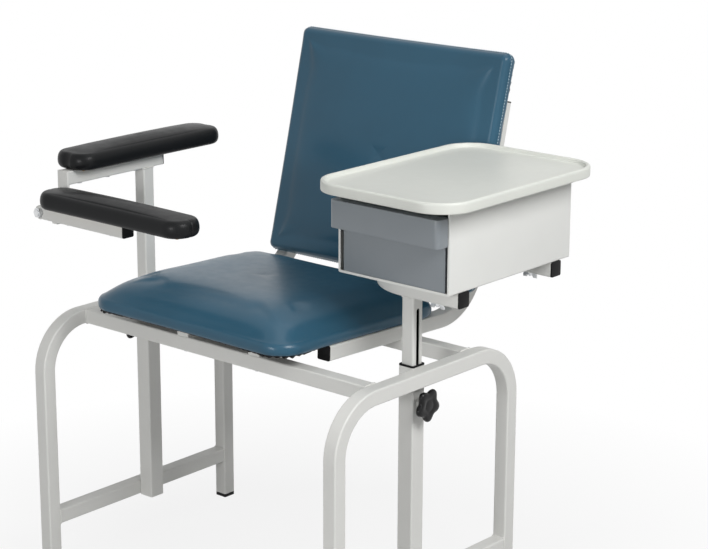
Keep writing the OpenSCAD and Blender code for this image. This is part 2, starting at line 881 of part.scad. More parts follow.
module cabinet_bolts() {
    color(zinc)
        for (p = bolt_places)
            translate([p[0], p[1], cabinet_z + cabinet_wall]) {
                cylinder(d = bolt_head_d, h = bolt_head_h, $fn = fn_small);
                translate([0, 0, -cabinet_wall - tube_w - bolt_tail])
                    cylinder(d = screw_d, h = cabinet_wall + tube_w + bolt_tail, $fn = fn_small);
            }
}

module wing_nuts() {
    color(zinc)
        for (p = bolt_places)
            translate([p[0], p[1], support_z - nut_hub_h]) difference() {
                union() {
                    cylinder(d = nut_hub_d, h = nut_hub_h, $fn = fn_small);
                    for (s = [0, 1])
                        mirror([s, 0, 0])
                            translate([nut_hub_d / 2 - nut_wing_t, nut_wing_t / 2, nut_hub_h - nut_wing_h])
                                rotate([90, 0, 0])
                                    linear_extrude(nut_wing_t)
                                        polygon([[0, nut_wing_h / 2], [nut_wing_l / 3, 0], [nut_wing_l, 0],
                                            [nut_wing_l, nut_wing_h / 2], [nut_wing_l / 2, nut_wing_h],
                                            [0, nut_wing_h]]);
                }
                translate([0, 0, -nut_wing_h])
                    cylinder(d = screw_hole_d, h = nut_hub_h + nut_wing_h + cut, $fn = fn_small);
            }
}

// The groove is as high as the drawer's rib and opens towards the drawer
module drawer_runner(side) {
    wall_x = cabinet_w / 2 - cabinet_wall;
    inner_x = drawer_w / 2 + runner_gap;
    groove_h = rib_h + 2 * slide_gap;
    run_y = cabinet_front + cabinet_wall + rib_set_back;
    run_l = cabinet_d - 2 * cabinet_wall - rib_set_back;
    color(zinc)
        translate([cabinet_mid_x, run_y, rib_z]) mirror([side < 0 ? 1 : 0, 0, 0]) difference() {
            translate([inner_x, 0, -groove_h / 2 - runner_t])
                cube([wall_x - inner_x, run_l, groove_h + 2 * runner_t]);
            translate([inner_x - cut, -cut, -groove_h / 2])
                cube([wall_x - inner_x - runner_t + cut, run_l + 2 * cut, groove_h]);
        }
}

module tray_outline(inset) {
    soft_plate(tray_w - 2 * inset, tray_d - 2 * inset, tray_corner_r - inset);
}

// The rim's outer edge is rounded in steps, from the top down
module tray_top() {
    under_h = tray_h - tray_recess - tray_floor_t;
    step_h = tray_edge_r / tray_edge_steps;
    rib_x = [for (s = [-1, 0, 1]) s * cabinet_w / 2];
    rib_y = [for (y = clip_y) y - tray_mid[1]];
    color(tray_plastic) translate([tray_mid[0], tray_mid[1], tray_z]) {
        difference() {
            union() {
                linear_extrude(tray_h - tray_edge_r) tray_outline(0);
                for (i = [1:tray_edge_steps])
                    translate([0, 0, tray_h - tray_edge_r])
                        linear_extrude(i * step_h)
                            tray_outline(tray_edge_r * (1 - cos(asin(i / (tray_edge_steps + 1)))));
            }
            translate([0, 0, tray_h - tray_recess])
                linear_extrude(tray_recess + cut) tray_outline(tray_rim_w);
            translate([0, 0, -cut]) linear_extrude(under_h + cut) tray_outline(tray_rim_w - tray_rib_t);
        }
        intersection() {
            linear_extrude(under_h) tray_outline(tray_edge_r);
            union() {
                for (x = rib_x)
                    translate([x - tray_rib_t / 2, -tray_d / 2, 0])
                        cube([tray_rib_t, tray_d, under_h]);
                for (y = rib_y)
                    translate([-tray_w / 2, y - tray_rib_t / 2, 0])
                        cube([tray_w, tray_rib_t, under_h]);
            }
        }
    }
}

module tray_clips() {
    color(zinc)
        for (y = clip_y, s = [-1, 1])
            translate([cabinet_mid_x, y, tray_z]) mirror([s < 0 ? 1 : 0, 0, 0])
                translate([cabinet_w / 2, -clip_w / 2, 0]) {
                    translate([0, 0, -clip_h]) cube([clip_t, clip_w, clip_h]);
                    translate([0, 0, -clip_t]) cube([clip_reach, clip_w, clip_t]);
                }
}

module drawer() {
    band_depth = band_reach - band_gap;
    rib_y = drawer_front + drawer_wall + rib_set_back;
    rib_l = drawer_d - drawer_wall - rib_set_back;
    color(drawer_plastic) translate([cabinet_mid_x, 0, 0]) {
        difference() {
            translate([-drawer_w / 2, drawer_front, drawer_floor_z]) cube([drawer_w, drawer_d, drawer_h]);
            translate([-drawer_w / 2 + drawer_wall, drawer_front + drawer_wall, drawer_floor_z + drawer_wall])
                cube([drawer_w - 2 * drawer_wall, drawer_d - 2 * drawer_wall, drawer_h]);
        }
        translate([-drawer_w / 2, drawer_front, drawer_panel_z])
            cube([drawer_w, drawer_wall, band_z + band_h - drawer_panel_z]);
        for (s = [-1, 1])
            translate([s * (drawer_w + rib_out) / 2 - rib_out / 2, rib_y, rib_z - rib_h / 2])
                cube([rib_out, rib_l, rib_h]);
        translate([-drawer_w / 2, cabinet_front - band_reach + band_corner_r, band_z + band_h - drawer_wall])
            cube([drawer_w, band_reach + drawer_set_back + drawer_wall - band_corner_r, drawer_wall]);
        translate([0, cabinet_front - band_gap, band_z]) difference() {
            linear_extrude(band_h) band_outline(0, band_depth);
            translate([0, 0, -cut])
                linear_extrude(band_h - drawer_wall + cut) band_outline(drawer_wall, band_depth);
        }
    }
}

// The outline's rear edge is on Y = 0 and its front corners are round
module band_outline(inset, depth) {
    r = band_corner_r - inset;
    half_w = band_w / 2 - inset;
    front = depth - inset;
    translate([-half_w, -front + r]) square([2 * half_w, front - r + (inset > 0 ? cut : 0)]);
    translate([-half_w + r, -front]) square([2 * (half_w - r), front]);
    for (s = [-1, 1])
        translate([s * (half_w - r), -front + r]) circle(r = r, $fn = fn_mid);
}

// Lock knobs. The knob is a nut on the stud.

function knob_radius(a) = knob_d / 2 * (1 - knob_hollow_share * (1 - cos(knob_lobes * a)) / 2);

module lock_knob() {
    hub_x = sleeve_w / 2 + boss_l + knob_gap;
    bore_l = stud_end - hub_x + pin_gap;
    color(black_plastic) translate([post_x + hub_x, 0, lock_z])
        rotate([0, 90, 0]) difference() {
            union() {
                cylinder(d = knob_hub_d, h = knob_hub_l, $fn = fn_mid);
                translate([0, 0, knob_hub_l])
                    linear_extrude(knob_t)
                        polygon([for (i = [0:knob_steps - 1])
                            let (a = 360 * i / knob_steps) knob_radius(a) * [cos(a), sin(a)]]);
            }
            translate([0, 0, -cut])
                cylinder(d = lock_screw_d + 2 * pin_gap, h = bore_l + cut, $fn = fn_small);
        }
}

// Arm rest, on the sitter's right

module arm_post() {
    color(frame_paint)
        left_side() slotted_post(arm_slot_bottom - post_tail, arm_bar_z, arm_slot_bottom, arm_slot_top);
}

module side_pad_holes() {
    for (y = side_screw_places)
        translate([-post_x, y, arm_bar_z]) children();
}

pad_screw_l = post_w + screw_bite;

module side_arm_bar() {
    color(frame_paint) difference() {
        translate([-post_x, -hinge_plate_rear, arm_bar_mid_z])
            rotate([-90, 0, 0]) tube_run(post_w, post_wall, hinge_plate_rear + side_bar_rear);
        side_pad_holes() screw_hole(pad_screw_l);
    }
}

module side_arm_cap() {
    color(black_plastic)
        translate([-post_x, side_bar_rear, arm_bar_mid_z])
            rotate([-90, 0, 0]) end_cap(post_w, post_wall, cap_lip);
}

module pad_board(w) {
    translate([-w / 2 + pad_board_inset, -pad_l / 2 + pad_board_inset, 0])
        cube([w - 2 * pad_board_inset, pad_l - 2 * pad_board_inset, pad_board_t]);
}

module pad_form(w) {
    edge_t = pad_edge_share * pad_t;
    pocket_inset = pad_board_inset - board_side_gap;
    difference() {
        cushion_form(w, pad_l, pad_corner_r, edge_t, pad_t - edge_t, pad_crown_power,
            pad_under_inset, pad_over_inset, pad_pull);
        translate([-w / 2 + pocket_inset, -pad_l / 2 + pocket_inset, -cut])
            cube([w - 2 * pocket_inset, pad_l - 2 * pocket_inset, pad_board_t + cut]);
    }
}

module on_side_pad() {
    translate([-post_x, pad_mid_y, pad_z]) children();
}

module side_pad_board() {
    color(plywood) difference() {
        on_side_pad() pad_board(side_pad_w);
        side_pad_holes() screw_hole(pad_screw_l);
    }
}

module side_arm_pad() {
    color(dark_vinyl) on_side_pad() pad_form(side_pad_w);
}

module side_pad_screws() {
    color(zinc) side_pad_holes() screw(pad_screw_l);
}

module hinge_bracket() {
    plate_bottom = hinge_z - hinge_plate_drop;
    lug_top = hinge_z - post_w / 2 - slide_gap;
    lug_l = cross_arm_front - hinge_plate_rear;
    color(frame_paint) translate([-post_x, -hinge_plate_rear, 0]) difference() {
        union() {
            translate([-post_w / 2, -hinge_plate_t, plate_bottom])
                cube([post_w, hinge_plate_t, arm_bar_z + post_w - plate_bottom]);
            translate([0, -hinge_plate_t, plate_bottom])
                cube([lug_out + lug_w, hinge_plate_t, lug_top - plate_bottom]);
            translate([lug_out, -lug_l, lug_top - lug_h]) cube([lug_w, lug_l, lug_h]);
        }
        translate([0, cut, hinge_z])
            rotate([90, 0, 0])
                cylinder(d = hinge_pin_d + 2 * pin_gap, h = hinge_plate_t + 2 * cut, $fn = fn_mid);
    }
}

module hinge_pin() {
    pin_rear = -hinge_plate_rear;
    pin_l = pin_rear - barrel_front + barrel_gap + hinge_nut_t + hinge_tail;
    color(zinc) translate([-post_x, pin_rear, hinge_z]) {
        rotate([-90, 0, 0]) cylinder(d = hinge_head_d, h = hinge_head_h, $fn = fn_mid);
        rotate([90, 0, 0]) cylinder(d = hinge_pin_d, h = pin_l, $fn = fn_mid);
    }
}

module hinge_nut() {
    color(zinc) translate([-post_x, barrel_front - barrel_gap, hinge_z])
        rotate([90, 0, 0]) difference() {
            cylinder(d = hinge_nut_w, h = hinge_nut_t, $fn = 6);
            translate([0, 0, -cut])
                cylinder(d = hinge_pin_d + 2 * pin_gap, h = hinge_nut_t + 2 * cut, $fn = fn_mid);
        }
}

module cross_pad_holes() {
    for (t = cross_screw_shares)
        translate([-post_x + t * cross_bar_l, -cross_arm_front, hinge_z - post_w / 2]) children();
}

// The bar's near end is closed by the barrel that turns on the hinge pin
module flip_arm_bar() {
    barrel_l = barrel_rear - barrel_front;
    color(frame_paint) difference() {
        union() {
            translate([-post_x, -cross_arm_front, hinge_z])
                rotate([0, 90, 0]) tube_run(post_w, post_wall, cross_bar_l);
            translate([-post_x, barrel_front, hinge_z])
                rotate([-90, 0, 0]) cylinder(d = barrel_d, h = barrel_l, $fn = fn_mid);
        }
        translate([-post_x, barrel_front - cut, hinge_z])
            rotate([-90, 0, 0])
                cylinder(d = hinge_pin_d + 2 * pin_gap, h = barrel_l + 2 * cut, $fn = fn_mid);
        cross_pad_holes() screw_hole(pad_screw_l);
    }
}

module flip_arm_cap() {
    color(black_plastic)
        translate([-post_x + cross_bar_l, -cross_arm_front, hinge_z])
            rotate([0, 90, 0]) end_cap(post_w, post_wall, cap_lip);
}

module on_cross_pad() {
    translate([-post_x + cross_pad_start + pad_l / 2, -cross_arm_front, cross_pad_z])
        rotate([0, 0, 90]) children();
}

module flip_pad_board() {
    color(plywood) difference() {
        on_cross_pad() pad_board(cross_pad_w);
        cross_pad_holes() screw_hole(pad_screw_l);
    }
}

module flip_arm_pad() {
    color(dark_vinyl) on_cross_pad() pad_form(cross_pad_w);
}

module flip_pad_screws() {
    color(zinc) cross_pad_holes() screw(pad_screw_l);
}

chair() side_frame();  // side_frame_left
chair() left_side() side_frame();  // side_frame_right
chair() side_stretcher();  // side_stretcher_left
chair() left_side() side_stretcher();  // side_stretcher_right
chair() front_cross_rail();
chair() rear_cross_rail();
chair() post_sleeve();  // post_sleeve_left
chair() left_side() post_sleeve();  // post_sleeve_right
chair() sleeve_collar();  // sleeve_collar_left
chair() left_side() sleeve_collar();  // sleeve_collar_right
chair() lock_stud();  // lock_stud_left
chair() left_side() lock_stud();  // lock_stud_right
chair() foot_tips();  // foot_tips_left
chair() left_side() foot_tips();  // foot_tips_right
chair() seat_spacers();
chair() seat_back_tube(1);  // seat_back_tube_left
chair() seat_back_tube(-1);  // seat_back_tube_right
chair() tube_end_caps();
chair() seat_dust_cover();
chair() seat_board();
chair() seat_cushion();
chair() seat_screws();
chair() back_spacers();
chair() back_cover_panel();
chair() back_board();
chair() back_cushion();
chair() back_screws();
chair() tray_post();
chair() tray_support_frame();
chair() support_end_caps();
chair() cabinet();
chair() drawer_runner(1);  // drawer_runner_left
chair() drawer_runner(-1);  // drawer_runner_right
chair() tray_top();
chair() tray_clips();
chair() cabinet_bolts();
chair() wing_nuts();
chair() drawer();
chair() lock_knob();  // lock_knob_left
chair() left_side() lock_knob();  // lock_knob_right
chair() arm_post();
chair() side_arm_bar();
chair() side_arm_cap();
chair() side_pad_board();
chair() side_arm_pad();
chair() side_pad_screws();
chair() hinge_bracket();
chair() hinge_pin();
chair() hinge_nut();
chair() flip_arm_bar();
chair() flip_arm_cap();
chair() flip_pad_board();
chair() flip_arm_pad();
chair() flip_pad_screws();
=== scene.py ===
"""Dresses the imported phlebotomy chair: camera, lights, materials, upholstery and moulded parts."""

import json
import math

import bmesh
import bpy
from mathutils import Matrix, Vector
from mathutils.bvhtree import BVHTree
from mathutils.kdtree import KDTree

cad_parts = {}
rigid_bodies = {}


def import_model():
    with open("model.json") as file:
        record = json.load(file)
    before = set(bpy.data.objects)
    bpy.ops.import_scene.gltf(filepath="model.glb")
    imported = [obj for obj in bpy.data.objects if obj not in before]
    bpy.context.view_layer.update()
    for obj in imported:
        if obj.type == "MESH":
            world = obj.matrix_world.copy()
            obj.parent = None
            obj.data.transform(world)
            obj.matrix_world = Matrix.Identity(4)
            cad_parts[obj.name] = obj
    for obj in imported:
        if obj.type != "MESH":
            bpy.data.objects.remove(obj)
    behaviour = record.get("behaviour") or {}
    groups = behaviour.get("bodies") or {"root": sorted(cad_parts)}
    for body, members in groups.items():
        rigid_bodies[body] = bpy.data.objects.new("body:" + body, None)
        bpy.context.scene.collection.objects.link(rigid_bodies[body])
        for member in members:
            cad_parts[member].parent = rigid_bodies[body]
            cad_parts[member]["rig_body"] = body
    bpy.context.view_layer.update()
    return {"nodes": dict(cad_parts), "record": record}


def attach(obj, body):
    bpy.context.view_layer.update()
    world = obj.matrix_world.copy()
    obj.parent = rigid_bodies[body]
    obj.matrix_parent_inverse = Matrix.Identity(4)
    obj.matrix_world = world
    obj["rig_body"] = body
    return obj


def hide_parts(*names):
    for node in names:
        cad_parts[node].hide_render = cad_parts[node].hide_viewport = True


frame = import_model()

# Camera, fitted to the photograph's 708 by 549 frame

CAMERA_PLACE = (2.78503, -3.12816, 1.83498)
CAMERA_TURN = (74.5357, -0.184, 40.8)
CAMERA_LENS = 104.62
SENSOR_WIDTH = 36

# Where the pieces lie, in metres: SHIFT leads from the CAD source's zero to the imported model's

SHIFT = Matrix.Translation((-0.064, -0.086176, 0))
SEAT_PLACE = SHIFT @ Matrix.Translation((-0.034, 0.150, 0.588)) @ Matrix.Rotation(math.radians(-2), 4, "X")
BACK_PLACE = SEAT_PLACE @ Matrix.Translation((0, 0.125, 0.108)) @ Matrix.Rotation(math.radians(78), 4, "X")
SEAT_MIDDLE = Vector((0, -0.136, 0.001))
BACK_MIDDLE = Vector((0.004, 0.203, -0.102))
SIDE_PAD_PLACE = SHIFT @ Matrix.Translation((-0.381, -0.010, 0.888))
CROSS_PAD_PLACE = SHIFT @ Matrix.Translation((-0.158, -0.286, 0.825)) @ Matrix.Rotation(math.radians(90), 4, "Z")
TRAY_PLACE = SHIFT @ Matrix.Translation((0.383, 0.136, 0.917))
KNOB_LEFT_PLACE = SHIFT @ Matrix.Translation((0.4095, 0, 0.489)) @ Matrix.Rotation(math.radians(90), 4, "Y")
KNOB_RIGHT_PLACE = SHIFT @ Matrix.Translation((-0.4095, 0, 0.489)) @ Matrix.Rotation(math.radians(-90), 4, "Y")
POST_X = 0.381
X, Y, Z = Vector((1, 0, 0)), Vector((0, 1, 0)), Vector((0, 0, 1))

# Materials

RAMP_ENDS = (0.35, 0.65)
FINE_PATCHES = 9
ROUGH_DRIFT = 0.08


def set_inputs(made, values):
    """Sets a node's inputs by their labels, with underscores for spaces."""
    for label, value in values.items():
        made.inputs[label.replace("_", " ")].default_value = value


def add_node(tree, kind, **values):
    made = tree.nodes.new(kind)
    set_inputs(made, values)
    return made


def grain(tree, scale, stretch=(1, 1, 1), detail=3.0):
    """(mapping, noise) nodes over the object's own coordinates, in cycles per metre."""
    place = tree.nodes.new("ShaderNodeTexCoord")
    spread = add_node(tree, "ShaderNodeMapping", Scale=stretch)
    field = add_node(tree, "ShaderNodeTexNoise", Scale=scale, Detail=detail)
    tree.links.new(place.outputs["Object"], spread.inputs["Vector"])
    tree.links.new(spread.outputs["Vector"], field.inputs["Vector"])
    return spread, field


def noise(tree, scale, **shape):
    return grain(tree, scale, **shape)[1].outputs["Fac"]


def ramp(tree, source, low, high):
    """The colour between low and high that a field's middle values run through."""
    made = tree.nodes.new("ShaderNodeValToRGB")
    for i, colour in enumerate((low, high)):
        made.color_ramp.elements[i].position = RAMP_ENDS[i]
        made.color_ramp.elements[i].color = (*colour, 1)
    tree.links.new(source, made.inputs["Fac"])
    return made.outputs["Color"]


def grey(value):
    return (value, value, value)


def shade(colour, factor):
    return tuple(min(1.0, c * factor) for c in colour)


def add_bump(tree, shader, height, strength, depth, after=None):
    """Bump on the shader, on top of an earlier bump where one is given."""
    bump = add_node(tree, "ShaderNodeBump", Strength=strength, Distance=depth)
    tree.links.new(height, bump.inputs["Height"])
    if after is not None:
        tree.links.new(after.outputs["Normal"], bump.inputs["Normal"])
    tree.links.new(bump.outputs["Normal"], shader.inputs["Normal"])
    return bump


def finish_material(name, colour, rough, patch, drift, **values):
    """(material, tree, shader) with a slow drift of colour and a finer drift of roughness."""
    made = bpy.data.materials.new(name)
    made.use_nodes = True
    tree = made.node_tree
    shader = tree.nodes["Principled BSDF"]
    set_inputs(shader, values)
    tint = ramp(tree, noise(tree, patch), shade(colour, 1 - drift), shade(colour, 1 + drift))
    tree.links.new(tint, shader.inputs["Base Color"])
    fine = noise(tree, patch * FINE_PATCHES)
    gloss = ramp(tree, fine, grey(rough * (1 - ROUGH_DRIFT)), grey(rough * (1 + ROUGH_DRIFT)))
    tree.links.new(gloss, shader.inputs["Roughness"])
    return made, tree, shader


def painted(name, colour, rough, peel):
    """Powder coat with a faint orange peel."""
    made, tree, shader = finish_material(name, colour, rough, patch=4.0, drift=0.02, Specular_IOR_Level=0.4)
    broad = add_bump(tree, shader, noise(tree, 420), strength=peel, depth=0.0004)
    add_bump(tree, shader, noise(tree, 1500), strength=peel * 0.5, depth=0.0001, after=broad)
    return made


def moulded(name, colour, rough, texture, specular=0.5, coat=0.0):
    """Moulded plastic with a fine sparked texture."""
    made, tree, shader = finish_material(
        name, colour, rough, patch=6.0, drift=0.02,
        Specular_IOR_Level=specular, Coat_Weight=coat, Coat_Roughness=0.08,
    )
    add_bump(tree, shader, noise(tree, 1100), strength=texture, depth=0.00015)
    return made


def leathery(name, colour, rough, specular, cells, depth):
    """Upholstery vinyl: rounded grain cells with finer pores between them."""
    made, tree, shader = finish_material(
        name, colour, rough, patch=5.0, drift=0.06,
        Specular_IOR_Level=specular, Coat_Weight=0.05, Coat_Roughness=0.10,
    )
    spread, bend = grain(tree, 90)
    mixed = add_node(tree, "ShaderNodeMixRGB", Fac=0.004)
    tree.links.new(spread.outputs["Vector"], mixed.inputs["Color1"])
    tree.links.new(bend.outputs["Color"], mixed.inputs["Color2"])
    web = tree.nodes.new("ShaderNodeTexVoronoi")
    web.feature = "SMOOTH_F1"
    set_inputs(web, dict(Scale=cells, Smoothness=0.4))
    tree.links.new(mixed.outputs["Color"], web.inputs["Vector"])
    skin = add_bump(tree, shader, web.outputs["Distance"], strength=depth, depth=0.00035)
    add_bump(tree, shader, noise(tree, 2600), strength=depth * 0.5, depth=0.0001, after=skin)
    return made


def plated(name, colour, rough):
    """Zinc plate: bright metal with a clouded, slightly brushed surface."""
    made, tree, shader = finish_material(name, colour, rough, patch=60.0, drift=0.12, Metallic=1.0)
    add_bump(tree, shader, noise(tree, 900, stretch=(1, 1, 0.15)), strength=0.15, depth=0.0002)
    return made


def woven(name, colour):
    """Thin black non-woven cloth with a crossed thread pattern."""
    made, tree, shader = finish_material(
        name, colour, 0.85, patch=20.0, drift=0.2, Specular_IOR_Level=0.15, Sheen_Weight=0.25
    )
    place = tree.nodes.new("ShaderNodeTexCoord")
    last = None
    for direction in ("X", "Y"):
        threads = add_node(tree, "ShaderNodeTexWave", Scale=160, Distortion=1.5)
        threads.bands_direction = direction
        tree.links.new(place.outputs["Object"], threads.inputs["Vector"])
        last = add_bump(tree, shader, threads.outputs["Fac"], strength=0.4, depth=0.0003, after=last)
    return made


def layered_wood(name, light, dark):
    """Bare plywood with its grain along the object's X."""
    made, tree, shader = finish_material(name, light, 0.65, patch=12.0, drift=0.1)
    field = noise(tree, 14, stretch=(1, 14, 90), detail=6)
    tree.links.new(ramp(tree, field, dark, light), shader.inputs["Base Color"])
    add_bump(tree, shader, field, strength=0.2, depth=0.0003)
    return made


MATERIALS = {
    "frame_paint": painted("frame_paint", (0.70, 0.70, 0.675), rough=0.42, peel=0.10),
    "cabinet_paint": painted("cabinet_paint", (0.745, 0.75, 0.725), rough=0.45, peel=0.08),
    "tray_plastic": moulded("tray_plastic", (0.665, 0.68, 0.635), rough=0.42, texture=0.12, specular=0.4),
    "drawer_plastic": moulded("drawer_plastic", (0.228, 0.252, 0.272), rough=0.30, texture=0.12),
    "black_plastic": moulded("black_plastic", (0.007, 0.007, 0.0075), rough=0.36, texture=0.2, specular=0.12),
    "gloss_black": moulded(
        "gloss_black", (0.006, 0.006, 0.0065), rough=0.26, texture=0.08, specular=0.15, coat=0.2
    ),
    "teal_vinyl": leathery(
        "teal_vinyl", (0.026, 0.092, 0.148), rough=0.30, specular=0.28, cells=520, depth=0.10
    ),
    "dark_vinyl": leathery(
        "dark_vinyl", (0.008, 0.0085, 0.0092), rough=0.40, specular=0.12, cells=620, depth=0.10
    ),
    "black_cover": woven("black_cover", (0.008, 0.008, 0.0085)),
    "zinc_steel": plated("zinc_steel", (0.62, 0.63, 0.64), rough=0.34),
    "plywood": layered_wood("plywood", light=(0.46, 0.30, 0.15), dark=(0.30, 0.18, 0.08)),
}
THREAD = moulded("stitch_thread", (0.36, 0.47, 0.53), rough=0.6, texture=0.3, specular=0.3)
# Near-black material for the painted shade inside the slotted posts
SLOT_SHADOW = moulded("slot_shadow", (0.006, 0.006, 0.006), rough=0.8, texture=0.2, specular=0.0)
SLOTS = {entry["node"]: entry["material_slot"] for entry in frame["record"]["subparts"]}

# Meshes


def new_piece(name, shape, slot, material=None):
    """An object made from (points, faces) or a mesh, with its finish and its material slot."""
    if isinstance(shape, bpy.types.Mesh):
        mesh = shape
    else:
        mesh = bpy.data.meshes.new(name)
        mesh.from_pydata([tuple(p) for p in shape[0]], [], shape[1])
        mesh.validate()
    mesh.name = name
    made = bpy.data.objects.new(name, mesh)
    bpy.context.scene.collection.objects.link(made)
    mesh.materials.clear()
    mesh.materials.append(material or MATERIALS[slot])
    return made


def tidy_normals(mesh):
    form = bmesh.new()
    form.from_mesh(mesh)
    bmesh.ops.recalc_face_normals(form, faces=form.faces)
    form.to_mesh(mesh)
    form.free()


def all_smooth(mesh):
    mesh.polygons.foreach_set("use_smooth", [True] * len(mesh.polygons))


def shade_smooth(made, angle):
    """Smooth faces, with sharp edges where two faces meet at more than the angle."""
    mesh = made.data
    tidy_normals(mesh)
    all_smooth(mesh)
    form = bmesh.new()
    form.from_mesh(mesh)
    limit = math.radians(angle)
    for edge in form.edges:
        edge.smooth = len(edge.link_faces) == 2 and edge.calc_face_angle(0) < limit
    form.to_mesh(mesh)
    form.free()


def shown_mesh(made):
    """The object's mesh after its modifiers."""
    return bpy.data.meshes.new_from_object(made.evaluated_get(bpy.context.evaluated_depsgraph_get()))


def joined(parts):
    """(points, faces) of several such pairs as one."""
    points, faces = [], []
    for some_points, some_faces in parts:
        start = len(points)
        points += [Vector(p) for p in some_points]
        faces += [tuple(start + j for j in f) for f in some_faces]
    return points, faces


def box_faces(low, high):
    """(points, faces) of a block between two corners."""
    points = [Vector((x, y, z)) for x in (low[0], high[0]) for y in (low[1], high[1]) for z in (low[2], high[2])]
    return points, [(0, 1, 3, 2), (4, 6, 7, 5), (0, 4, 5, 1), (2, 3, 7, 6), (0, 2, 6, 4), (1, 5, 7, 3)]


def way(degrees):
    """The level direction at an angle from X."""
    turn = math.radians(degrees)
    return Vector((math.cos(turn), math.sin(turn), 0))


def circle(count):
    """(cosine, sine) pairs evenly round a circle."""
    return [(math.cos(a), math.sin(a)) for a in (math.radians(360 / count * k) for k in range(count))]


def soft_rectangle(w, d, r, pull, corner, side):
    """Points round a rectangle with round corners, whose sides are drawn in by pull."""
    signs = ((1, 1), (-1, 1), (-1, -1), (1, -1))
    middles = [Vector((x * (w / 2 - r), y * (d / 2 - r), 0)) for x, y in signs]
    points = []
    for k in range(4):
        points += [middles[k] + r * way(90 * k + 90 * i / corner) for i in range(corner + 1)]
        out = way(90 * k + 90)
        start = middles[k] + r * out
        end = middles[(k + 1) % 4] + r * out
        for i in range(1, side):
            share = i / side
            points.append(start.lerp(end, share) - pull * math.sin(math.pi * share) * out)
    return points


def raise_ring(ring, z):
    return [Vector((p[0], p[1], z)) for p in ring]


def loft(rings, closed=False):
    """(points, faces) of rings with as many points each, joined in order; open ends get fans."""
    n = len(rings[0])
    count = len(rings)
    points = [p for ring in rings for p in ring]
    faces = []
    for i in range(count if closed else count - 1):
        a = i * n
        b = (i + 1) % count * n
        faces += [(a + j, b + j, b + (j + 1) % n, a + (j + 1) % n) for j in range(n)]
    if not closed:
        for at in (0, count - 1):
            points.append(sum((Vector(p) for p in rings[at]), Vector()) / n)
            faces += [(len(points) - 1, at * n + j, at * n + (j + 1) % n) for j in range(n)]
    return points, faces


# Cushion forms: width, length, corner radius, edge height, crown and its power (how soon it reaches
# its height), inset under the edge, inset over it, and how far the sides are drawn in

SEAT_FORM = dict(w=0.568, d=0.508, r=0.060, edge=0.026, crown=0.050, power=6, under=0.004, over=0.006, pull=0.003)
BACK_FORM = dict(w=0.591, d=0.520, r=0.016, edge=0.036, crown=0.010, power=2, under=0.003, over=0.012, pull=0.0015)
SIDE_PAD_FORM = dict(
    w=0.106, d=0.430, r=0.040, edge=0.037, crown=0.006, power=2, under=0.010, over=0.012, pull=0.0015
)
CROSS_PAD_FORM = dict(SIDE_PAD_FORM, w=0.088)

UNDER_SHARES = (0.5, 0.8)
LOW_SHARE = 0.34
HIGH_SHARE = 0.46
LEAST_CORNER = 0.004
CROWN_SPACING = 1.6
RIM_POWER = 20
SKIN_DETAIL = dict(side=16, corner=8, steps=14)
PIECE_DETAIL = dict(side=28, corner=12, steps=26)
DENSE_DETAIL = dict(side=40, corner=16, steps=60)


def quarter(steps):
    return [math.radians(90 * i / steps) for i in range(steps + 1)]


def cushion_rings(form, side, corner, steps):
    """Rings from the flat underside, round the edge and over the crown."""
    w, d, r, edge, under, over, pull = (form[k] for k in ("w", "d", "r", "edge", "under", "over", "pull"))
    low = edge * LOW_SHARE
    high = edge * HIGH_SHARE
    profile = [(under * (1 - math.sin(t)), low * (1 - math.cos(t))) for t in quarter(4)]
    profile += [(over * (1 - math.cos(t)), high + (edge - high) * math.sin(t)) for t in quarter(6)]
    rings = [raise_ring(soft_rectangle(w * s, d * s, r * s, pull, corner, side), 0) for s in UNDER_SHARES]
    for inset, z in profile:
        ring = soft_rectangle(w - 2 * inset, d - 2 * inset, max(r - inset, LEAST_CORNER), pull, corner, side)
        rings.append(raise_ring(ring, z))
    top = [(p.x, p.y) for p in rings[-1]]
    for i in range(1, steps):
        c = (i / steps) ** CROWN_SPACING
        ring = []
        for x, y in top:
            u = (1 - c) * abs(x) / (w / 2)
            v = (1 - c) * abs(y) / (d / 2)
            dome = (1 - u ** form["power"]) * (1 - v ** form["power"]) * (1 - (1 - c) ** RIM_POWER)
            ring.append(Vector((x * (1 - c), y * (1 - c), edge + form["crown"] * dome)))
        rings.append(ring)
    return rings


def skin_of(form):
    points, faces = loft(cushion_rings(form, **DENSE_DETAIL))
    return BVHTree.FromPolygons(points, faces)


# Upholstery: a skin of the cushion's form is blown up by Cloth, and the piece's points follow it

VOXEL = 0.0065
CLOTH_FRAMES = 20
CLOTH_SETTINGS = dict(
    quality=5, use_pressure=True, tension_stiffness=25, compression_stiffness=25, bending_stiffness=2
)
HELD_BELOW = 0.004
NEAR_POINTS = 24
NEAR_SOFTENING = 0.006
START_SHARE = 0.35
UNDERSIDE = 0.002
BEND_CLEAR_RADIUS = 0.1065


def remesh_evenly(made):
    remesh = made.modifiers.new("even", "REMESH")
    remesh.mode = "VOXEL"
    remesh.voxel_size = VOXEL
    bpy.context.view_layer.update()
    even = shown_mesh(made)
    made.modifiers.clear()
    made.data = even


